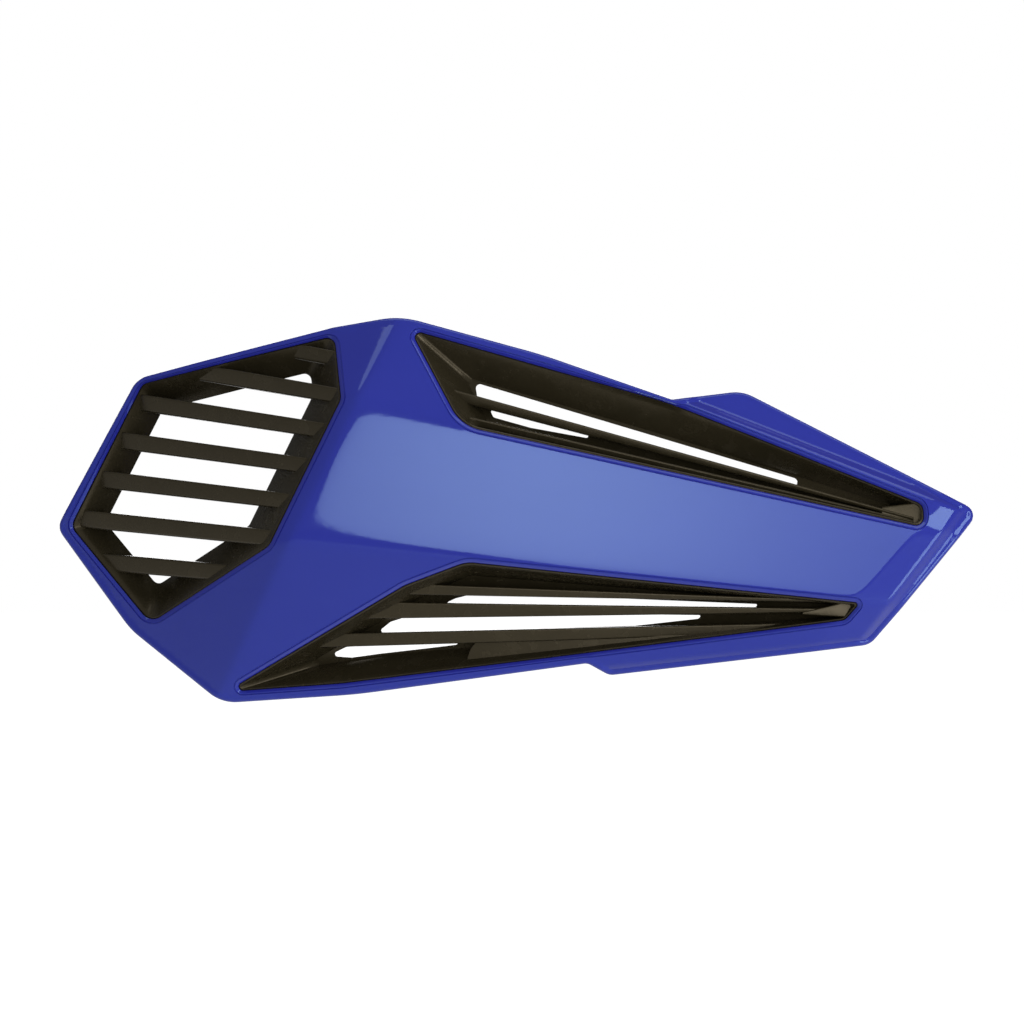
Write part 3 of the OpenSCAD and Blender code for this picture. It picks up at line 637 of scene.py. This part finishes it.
screw_places = [[vent.beside(e, s, BOSS_OFFSET) for e, s in screws]
                for vent, screws in zip(vents, (SIDE_SCREWS, UPPER_SCREWS, LOWER_SCREWS))]
arm_places = [np.array([-ARM_SPACING / 2, 0.0]), np.array([ARM_SPACING / 2, 0.0])]
for p in [q for places in screw_places for q in places]:
    boss(shell, p, BOSS_D, boss_top(p), SCREW_D + FIT_ROOM,
         SCREW_LENGTH - EAR_THICKNESS + BORE_ROOM)
for p in arm_places:
    boss(shell, p, ARM_BOSS_D, 0.0, NUT_D + FIT_ROOM, NUT_LENGTH + BORE_ROOM)
    for angle in range(0, 360, 90):
        a = math.radians(angle)
        # The rib that points at the upper insert stops short of its funnel
        reach = ARM_BOSS_D / 2 + (SHORT_RIB_REACH if p[0] > 0 and angle == 90 else RIB_REACH)
        way = np.array([math.cos(a), math.sin(a)])
        start, end = p + (ARM_BOSS_D / 2 - 1) * way, p + reach * way
        posts = []
        for q, top in [(start, -RIB_DROP), (end, float(inner_face(end[None])[0]) + RIB_FOOT)]:
            circle = ring(q, RIB_THICKNESS / 2, 16)
            posts += [lift(circle, face(circle) + WALL * ROOT_SHARE), lift(circle, top - 0.2),
                      lift(ring(q, RIB_THICKNESS / 2 - 0.25, 16), top)]
        shell.hull(np.concatenate(posts))


def place(name, mesh, material, slot, *nodes):
    """Makes a piece, rides it on the part's body and lets it stand for its CAD nodes."""
    piece = to_object(name, mesh, material)
    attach(piece, "root")
    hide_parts(*nodes)


place("shell_panel", shell.mesh("shell_panel"), blue, "shell_plastic", "shell")


# The inserts
def ruled(a, b, n):
    """Loops between two loops, evenly spaced, without the first."""
    return [a + (b - a) * k / n for k in range(1, n + 1)]


def funnel(vent, back, floor, slots):
    """Insert without its slats: a sloping wall with a small bead on its front lip. A vent with a
    floor has the floor's two faces, pierced by slots; otherwise the wall stays open behind."""
    solid = Solid()
    front_y = SEAT_GAP - SEAT_DEPTH

    def at_depth(outline, out, depth):
        loop = outline.loop(out)
        return lift(loop, inner_face(loop) + depth)

    bead = front_y - LIP_BEAD
    lip = [at_depth(vent, out, depth) for out, depth in [
        (EDGE_TUCK, front_y + 0.25), (EDGE_TUCK - 0.1, front_y + 0.06), (EDGE_TUCK - 0.25, front_y),
        (-0.14, front_y), (-0.17, bead + 0.1), (-0.25, bead), (0.12 - EDGE_SHOW, bead),
        (-EDGE_SHOW, bead + 0.12)]]
    inner_end = at_depth(back, 0, FUNNEL_DEPTH - (FLOOR if floor else 0.3))
    outer_end = at_depth(back, FUNNEL_WALL, FUNNEL_DEPTH - 0.3)
    solid.loft([*lip, *ruled(lip[-1], inner_end, 6)])
    solid.loft([lip[0], *ruled(lip[0], outer_end, 6)])
    last = at_depth(back, FUNNEL_WALL - 0.3, FUNNEL_DEPTH)
    solid.loft([outer_end, at_depth(back, FUNNEL_WALL - 0.08, FUNNEL_DEPTH - 0.08), last])
    if not floor:
        solid.loft([last, at_depth(back, 0.3, FUNNEL_DEPTH), at_depth(back, 0.08, FUNNEL_DEPTH - 0.08),
                    inner_end])
        return solid
    holes = [slot_loop(np.array([at(u, v) for u, v in slot[::-1]])) for slot in slots]
    solid.skin(region(back.loop(0), holes, 1.2), lambda p: inner_face(p) + FUNNEL_DEPTH - FLOOR)
    solid.skin(region(back.loop(FUNNEL_WALL - 0.3), holes, 1.5), lambda p: inner_face(p) + FUNNEL_DEPTH)
    for hole in holes:
        solid.loft([lift(hole, inner_face(hole) + FUNNEL_DEPTH - FLOOR),
                    lift(hole, inner_face(hole) + FUNNEL_DEPTH)])
    return solid


def slot_loop(places, radius=1.1):
    """Outline of a slot: its corners are rounded as far as the edges beside them allow."""
    way = np.roll(places, -1, 0) - places
    size, along = np.linalg.norm(way, axis=1), unit(way)
    before = np.roll(along, 1, 0)
    turn = np.arccos(np.clip((along * before).sum(1), -1, 1))
    room = 0.46 * np.minimum(size, np.roll(size, 1)) / np.tan(np.maximum(turn, 0.01) / 2)
    made = Outline(None, 0.8)
    made.places, made.radii = places, np.minimum(radius, room)
    return made.loop(0)


def envelope(name, vent, back, out_front, out_back, depth_back):
    """Closed volume between the mouth of a funnel and its back, to trim slats with."""
    solid = Solid()
    a, b = vent.loop(out_front), back.loop(out_back)
    mouth, end = lift(a, inner_face(a) - 4), lift(b, inner_face(b) + depth_back)
    solid.loft([mouth, lift(a, inner_face(a) + SEAT_GAP - SEAT_DEPTH), end])
    solid.skin(region(a, (), 4.0), lambda p: inner_face(p) - 4)
    solid.skin(region(b, (), 4.0), lambda p: inner_face(p) + depth_back)
    return solid.mesh(name)


def slat_profile(height, depth, edge):
    """Cross-section of a slat as (depth, height) pairs: its two front edges are rounded."""
    r, b = edge, edge * 0.5
    a = np.radians(np.linspace(0, 90, 6))
    top = height / 2
    front_low = np.stack([r - r * np.sin(a), -top + r - r * np.cos(a)], -1)
    front_high = np.stack([r - r * np.cos(a), top - r + r * np.sin(a)], -1)
    back_high = np.stack([depth - b + b * np.sin(a), top - b + b * np.cos(a)], -1)
    back_low = np.stack([depth - b + b * np.cos(a), -top + b - b * np.sin(a)], -1)
    return np.concatenate([front_low, front_high, back_high, back_low])


def slat(solid, first, last, heights, recess, back, edge=0.7, lean=0.0):
    """Slat along a line of the front view: its section is carried along it, follows the wall's
    inner skin in depth, and changes in height and recess from one end to the other. A lean brings
    its lower edge back by that share of its height."""
    n = max(8, int(np.linalg.norm(last - first) / 2.5))
    loops = []
    for t in np.linspace(0, 1, n + 1):
        p = first + (last - first) * t
        h = heights[0] + (heights[1] - heights[0]) * t
        front = recess[0] + (recess[1] - recess[0]) * t
        section = slat_profile(h, back - front, min(edge, 0.42 * h))
        y = float(inner_face(p[None])[0]) + front
        loops.append(np.stack([np.full(len(section), p[0]), y + section[:, 0] - lean * section[:, 1],
                               p[1] + section[:, 1]], -1))
    solid.loft(loops)
    solid.cap(loops[0])
    solid.cap(loops[-1])


def side_slats():
    """The slats of the side vent, fanned out about one upright line."""
    middle, reach = at(0.163, 0.657), LENGTH * 0.18
    for i in range(SIDE_SLATS):
        angle = SIDE_SLOPES[0] + (SIDE_SLOPES[1] - SIDE_SLOPES[0]) * i / (SIDE_SLATS - 1)
        slope = math.tan(math.radians(angle))
        height = ((SIDE_SLATS - 1) / 2 - i) * SIDE_PITCH
        solid = Solid()
        slat(solid, middle + [-reach, height + reach * slope], middle + [reach, height - reach * slope],
             (SIDE_SLAT_HEIGHT * 1.08, SIDE_SLAT_HEIGHT * 0.88), (SLAT_RECESS, SLAT_RECESS), SLAT_BACK,
             lean=SLAT_LEAN)
        yield solid.mesh("side_slat")


def bars(lines, rise, lean):
    """The long slats that stand on the floor of an insert. They rise towards their inner ends."""
    for a, b, h0, h1 in lines:
        solid = Solid()
        slat(solid, at(*a), at(*b), (h0, h1), (BAR_RECESS, BAR_RECESS - rise), BAR_BACK, 0.5, lean)
        yield solid.mesh("bar")


def tongue(first, last, heights):
    """The floor of a long vent rises to a shallow tongue at its inner end, below the slats."""
    solid = Solid()
    slat(solid, at(*first), at(*last), heights, (2.2, 1.2), BAR_BACK, 0.4)
    yield solid.mesh("tongue")


def lower_flank():
    """Flat land below the lowest slat of the lower vent, from the slat down to the vent's edge. It
    starts in a quarter round: its height grows as sqrt(1 - (1 - s)^2) over the first millimetres."""
    low_a, low_b = at(*LOWER_VENT[1][:2]), at(*LOWER_VENT[2][:2])
    top_a, top_b = at(0.27, 0.162) - [0, LONG_SLAT / 2], at(0.8, 0.199) - [0, SLAT_TIP * 0.9]
    first, last = at(0.4515, 0)[0], at(0.82, 0)[0]
    recess, tilt, thickness, round_length = 0.8, 0.06, 3, 4.0
    loops = []
    for x in first + np.linspace(0, 1, 70) ** 1.5 * (last - first):
        low = low_a + (low_b - low_a) * (x - low_a[0]) / (low_b[0] - low_a[0])
        top = top_a + (top_b - top_a) * (x - top_a[0]) / (top_b[0] - top_a[0])
        share = math.sqrt(1 - (1 - np.clip((x - first) / round_length, 0.03, 1)) ** 2)
        ends = np.array([low - [0, 0.6], top + [0, 0.5]])
        y = inner_face(ends) + recess
        y[1] = y[0] - tilt * (ends[1, 1] - ends[0, 1])
        ends[1], y[1] = ends[0] + (ends[1] - ends[0]) * share, y[0] + (y[1] - y[0]) * share
        loops.append(np.array([[x, y[0], ends[0, 1]], [x, y[1], ends[1, 1]],
                               [x, y[1] + thickness, ends[1, 1]], [x, y[0] + thickness, ends[0, 1]]]))
    solid = Solid()
    solid.loft(loops)
    solid.cap(loops[0])
    solid.cap(loops[-1])
    yield solid.mesh("flank")


def ears(vent, places, screws):
    """Fixing ears: a flat tongue with a rounded end and a hole, on each screw boss, and its web."""
    for p, (edge, share) in zip(places, screws):
        solid = Solid()
        anchor = vent.beside(edge, share, -EAR_REACH)
        seat = boss_top(p)
        way = unit(anchor - p)
        side = right_of(way[None])[0]
        a = np.linspace(-np.pi / 2, np.pi / 2, 25)

        def ear_outline(r):
            near_end = p - r * (np.cos(a)[:, None] * way + np.sin(a)[:, None] * side)
            far_end = anchor + r * (np.cos(a)[:, None] * way + np.sin(a)[:, None] * side)
            return np.concatenate([near_end, far_end])

        r, hole = BOSS_D / 2, SCREW_D / 2 + 0.25
        top = seat + EAR_THICKNESS
        solid.loft([lift(ear_outline(r - 0.1), seat), lift(ear_outline(r), seat + 0.1),
                    lift(ear_outline(r), top - 0.3), lift(ear_outline(r - 0.08), top - 0.08),
                    lift(ear_outline(r - 0.3), top)])
        circle = ring(p, hole)
        for y, out in [(seat, r - 0.1), (top, r - 0.3)]:
            solid.skin(region(ear_outline(out), [circle], 0.9), lambda q, y=y: np.full(len(q), y))
        solid.loft([lift(circle, seat), lift(circle, top)])
        yield solid.mesh("ear")
        web_end = p + way * (SCREW_HEAD_D / 2 + RIB_THICKNESS)
        posts = []
        for q, height in [(anchor, WEB_HEIGHT), (web_end, WEB_HEIGHT * 0.2)]:
            posts += [lift(ring(q, RIB_THICKNESS / 2, 16), seat + 0.5),
                      lift(ring(q, RIB_THICKNESS / 2, 16), top + height - 0.2),
                      lift(ring(q, RIB_THICKNESS / 2 - 0.2, 16), top + height)]
        web = Solid()
        web.hull(np.concatenate(posts))
        yield web.mesh("web")


INSERTS = [
    ("side", side_vent, side_back, SIDE_SCREWS, False, (), list(side_slats())),
    ("upper", upper_vent, upper_back, UPPER_SCREWS, True, UPPER_SLOTS,
     [*bars(UPPER_BARS, 2.0, UPPER_LEAN), *tongue((0.9, 0.498), (0.952, 0.485), (3.0, 9.0))]),
    ("lower", lower_vent, lower_back, LOWER_SCREWS, True, LOWER_SLOTS,
     [*bars(LOWER_BARS, 1.2, SLAT_LEAN), *lower_flank(),
      *tongue((0.815, 0.238), (0.87, 0.25), (0.8, 5.0))])]
for (name, vent, back_outline, screws, floor, slots, inner), places in zip(INSERTS, screw_places):
    body = funnel(vent, back_outline, floor, slots).mesh(name + "_funnel")
    trim = envelope("trim", vent, back_outline, -0.2, FUNNEL_WALL * 0.5, FUNNEL_DEPTH - 0.1)
    slats = [combined("slat", s, trim, "INTERSECT") for s in inner]
    outside = [combined("ear", e, trim, "DIFFERENCE") for e in ears(vent, places, screws)]
    mesh = joined(name + "_louvre", [body, *slats, *outside])
    place(name + "_louvre", mesh, black, "insert_plastic", name + "_vent_insert")


# Brass inserts and screws
TURN_STEPS = 48
TURN = np.arange(TURN_STEPS) * 2 * np.pi / TURN_STEPS


def turned(p, rows):
    """Loops of a turned piece about the line through p along Y: each row is a depth and a radius,
    which may change round the piece."""
    circle = np.stack([np.cos(TURN), np.sin(TURN)], -1)
    return [lift(p + np.broadcast_to(r, TURN_STEPS)[:, None] * circle, y) for y, r in rows]


def thread(y, pitch, depth):
    """Height of a helical ridge at a depth y, round the piece: a wave with flattened tops."""
    wave = 2 * np.abs((y / pitch + TURN / (2 * np.pi)) % 1 - 0.5)
    return depth * np.clip(wave * 1.6 - 0.3, 0, 1)


def knurl(y):
    """Height of crossed knurling: the higher of two helical waves."""
    return 0.14 * np.maximum(np.cos(12 * TURN + 4 * y), np.cos(12 * TURN - 4 * y))


def threaded_insert(p):
    """Brass insert: knurled outside with a plain collar at the seat, threaded bore."""
    outer, bore = NUT_D / 2, NUT_BORE_D / 2
    rows = [(0, outer - 0.25), (-0.06, outer - 0.06), (-0.25, outer), (-1.2, outer), (-1.35, outer - 0.3)]
    rows += [(y, outer - 0.16 + knurl(y)) for y in np.arange(-1.6, -NUT_LENGTH + 0.7, -0.25)]
    rows += [(-NUT_LENGTH + 0.4, outer - 0.35), (-NUT_LENGTH, outer - 0.6), (-NUT_LENGTH, bore + 0.5)]
    rows += [(y, bore + 0.42 - thread(y, 1.0, 0.42)) for y in np.arange(-NUT_LENGTH + 0.3, -0.5, 0.125)]
    rows += [(-0.42, bore + 0.42), (0, bore + 0.75)]
    solid = Solid()
    loops = turned(p, rows)
    solid.loft([*loops, loops[0]])
    return solid


def screw(p):
    """Pan-head screw: domed head with a six-lobed recess and a coarse cutting thread."""
    seat = boss_top(p) + EAR_THICKNESS
    r, h, shank = SCREW_HEAD_D / 2, SCREW_HEAD_H, SCREW_D / 2
    lobes = 0.95 + 0.17 * np.cos(6 * TURN)
    rows = [(seat + h - 1.1, lobes * 0.9), (seat + h - 0.12, lobes), (seat + h, lobes + 0.1)]
    dome = [math.cos(a) for a in np.radians([70, 55, 40, 25, 10, 0])]
    rows += [(seat + 0.5 + (h - 0.5) * math.sqrt(1 - (c * 0.93) ** 2), r * (0.4 + 0.6 * c)) for c in dome]
    rows += [(seat + 0.12, r), (seat, r - 0.12), (seat, shank * 0.86), (seat - 0.15, shank * 0.78)]
    for y in np.arange(0.3, SCREW_LENGTH - 0.2, 0.13):
        taper = np.clip((SCREW_LENGTH - y) / 1.3, 0.45, 1)
        rows.append((seat - y, (shank * 0.78 + thread(y, 1.3, shank * 0.22)) * taper))
    rows.append((seat - SCREW_LENGTH, shank * 0.3))
    solid = Solid()
    loops = turned(p, rows)
    solid.loft(loops)
    solid.cap(loops[0])
    solid.cap(loops[-1])
    return solid


for k, p in enumerate(arm_places, 1):
    place(f"brass_insert_{k}", threaded_insert(p).mesh("brass_insert"), brass, "brass",
          f"threaded_insert_{k}")
for (name, *_), places in zip(INSERTS, screw_places):
    for k, p in enumerate(places, 1):
        place(f"{name}_screw_{k}", screw(p).mesh("screw"), zinc, "screw_steel", f"{name}_vent_screw_{k}")


# Light, floor and camera
def softbox(name, place_at, aim, size, power, spot=None, flags=()):
    """Rectangular area light aimed at a point. A spot is its middle across and up the light, its
    half-width, its half-height and the light's strength beyond it. Each flag cuts off the corner
    on the low side of a line: a * across + b * up = c."""
    lamp = bpy.data.lights.new(name, "AREA")
    lamp.shape, lamp.size, lamp.size_y = "RECTANGLE", *size
    lamp.energy = power
    made = bpy.data.objects.new(name, lamp)
    made.location = place_at
    made.rotation_euler = (Vector(aim) - Vector(place_at)).to_track_quat("-Z", "Y").to_euler()
    bpy.context.scene.collection.objects.link(made)
    if spot is None:
        return
    lamp.use_nodes = True
    tree = lamp.node_tree
    across, up, half_width, half_height, rest = spot
    place_on = tree.nodes.new("ShaderNodeNewGeometry").outputs["Parametric"]
    spread = add_node(tree, "ShaderNodeMapping", {
        "Vector": place_on, "Location": (-across / half_width, -up / half_height, 0),
        "Scale": (1 / half_width, 1 / half_height, 0)})[0]
    distance = add_node(tree, "ShaderNodeVectorMath", {0: spread}, operation="LENGTH")["Value"]
    strength = add_node(tree, "ShaderNodeMapRange", {"Value": distance, "To Min": 1.0, "To Max": rest},
                        interpolation_type="SMOOTHSTEP")["Result"]
    for a, b, c in flags:
        side = add_node(tree, "ShaderNodeVectorMath", {0: place_on, 1: (a, b, 0)},
                        operation="DOT_PRODUCT")["Value"]
        kept = add_node(tree, "ShaderNodeMath", {0: side, 1: c}, operation="GREATER_THAN")["Value"]
        strength = add_node(tree, "ShaderNodeMath", {0: strength, 1: kept}, operation="MULTIPLY")["Value"]
    emission = next(n for n in tree.nodes if n.type == "EMISSION")
    tree.links.new(strength, emission.inputs["Strength"])


def floor_finish():
    """Matt white floor."""
    f = Finish("floor_white")
    tone = f.ramp(f.noise(3, 3)["Fac"], 0.3, 0.7)
    colour = f.mix(tone, (0.9, 0.9, 0.9, 1), (0.93, 0.93, 0.93, 1))
    plain = f.node("ShaderNodeBsdfDiffuse", {"Color": colour, "Roughness": 0.5})["BSDF"]
    glow = f.node("ShaderNodeEmission", {"Color": (1, 1, 1, 1), "Strength": 0.75})["Emission"]
    both = f.node("ShaderNodeAddShader", {0: plain, 1: glow})["Shader"]
    path = f.node("ShaderNodeLightPath")
    seen = path["Is Camera Ray"] + path["Is Transmission Ray"] + path["Is Glossy Ray"] * 0.2
    shader = f.node("ShaderNodeMixShader", {0: seen, 1: plain, 2: both})["Shader"]
    f.node("ShaderNodeOutputMaterial", {"Surface": shader})
    return f.material


FLOOR_Z = -0.56
bpy.ops.mesh.primitive_plane_add(size=60, location=(0, 0, FLOOR_Z))
floor_plane = bpy.context.object
floor_plane.name = "floor"
floor_plane.data.materials.append(floor_finish())

world = bpy.data.worlds.new("studio")
bpy.context.scene.world = world
world.use_nodes = True
tree = world.node_tree
tree.nodes.clear()

# The room is dim behind the guard and lighter in front of it; seen directly it is white
generated = tree.nodes.new("ShaderNodeTexCoord").outputs["Generated"]
direction = add_node(tree, "ShaderNodeSeparateXYZ", {0: generated})["Y"]
shade = add_node(tree, "ShaderNodeMapRange", {"Value": direction, "From Min": -0.5, "From Max": 0.6,
                                              "To Min": 1.0, "To Max": 0.3})["Result"]
room = add_node(tree, "ShaderNodeBackground", {"Color": shade, "Strength": 0.5})[0]
white = add_node(tree, "ShaderNodeBackground", {"Color": (1, 1, 1, 1), "Strength": 1.0})[0]
seen = tree.nodes.new("ShaderNodeLightPath").outputs["Is Camera Ray"]
both = add_node(tree, "ShaderNodeMixShader", {0: seen, 1: room, 2: white})[0]
add_node(tree, "ShaderNodeOutputWorld", {"Surface": both})

# The front light's left edge leans outwards and its lower left corner is cut off
BOX_LEFT, BOX_LOW, BOX_SIZE = -0.86, -0.41, (2.2, 0.66)


def flag(a, b):
    """Line through two points of the front light, in metres, with the kept side on its right."""
    (u0, v0), (u1, v1) = [((x - BOX_LEFT) / BOX_SIZE[0], (z - BOX_LOW) / BOX_SIZE[1]) for x, z in (a, b)]
    return v1 - v0, u0 - u1, (v1 - v0) * u0 + (u0 - u1) * v0


box_x, box_z = BOX_LEFT + BOX_SIZE[0] / 2, BOX_LOW + BOX_SIZE[1] / 2
softbox("front_box", (box_x, -1.7, box_z), (box_x, 0, box_z), BOX_SIZE, 27.5, (0.33, 0.79, 0.29, 1.0, 0.43),
        [flag((-0.48, -0.05), (-0.78, 0.24)), flag((-0.26, -0.36), (-0.48, -0.08))])
softbox("top_box", (0.0, 0.05, 1.1), (0, 0.05, 0), (1.4, 0.6), 4)
softbox("low_right_box", (0.85, -0.5, -0.43), (0, 0, 0), (0.5, 0.34), 2.4)
softbox("back_box", (0.1, 1.6, 0.3), (0, 0, 0), (1.2, 0.8), 9)
softbox("right_box", (1.0, -0.75, 0.3), (0, 0, 0), (0.4, 0.8), 6)

camera_data = bpy.data.cameras.new("camera")
LENS, SENSOR_WIDTH = 200.0, 36.0
camera_data.type, camera_data.lens, camera_data.sensor_width = "PERSP", LENS, SENSOR_WIDTH
camera_data.clip_start, camera_data.clip_end = 0.05, 100
camera = bpy.data.objects.new("camera", camera_data)
# Width of the photograph's frame at the middle of the guard, and the point at its centre
FRAME_WIDTH, CENTRE_X, CENTRE_Y, CENTRE_Z = 0.27904, -0.0376, 0.005, 0.0041
camera.location = (CENTRE_X, CENTRE_Y - FRAME_WIDTH * LENS / SENSOR_WIDTH, CENTRE_Z)
camera.rotation_euler = (math.pi / 2, 0, 0)
bpy.context.scene.collection.objects.link(camera)
bpy.context.scene.camera = camera
bpy.context.scene.view_settings.view_transform = "Standard"
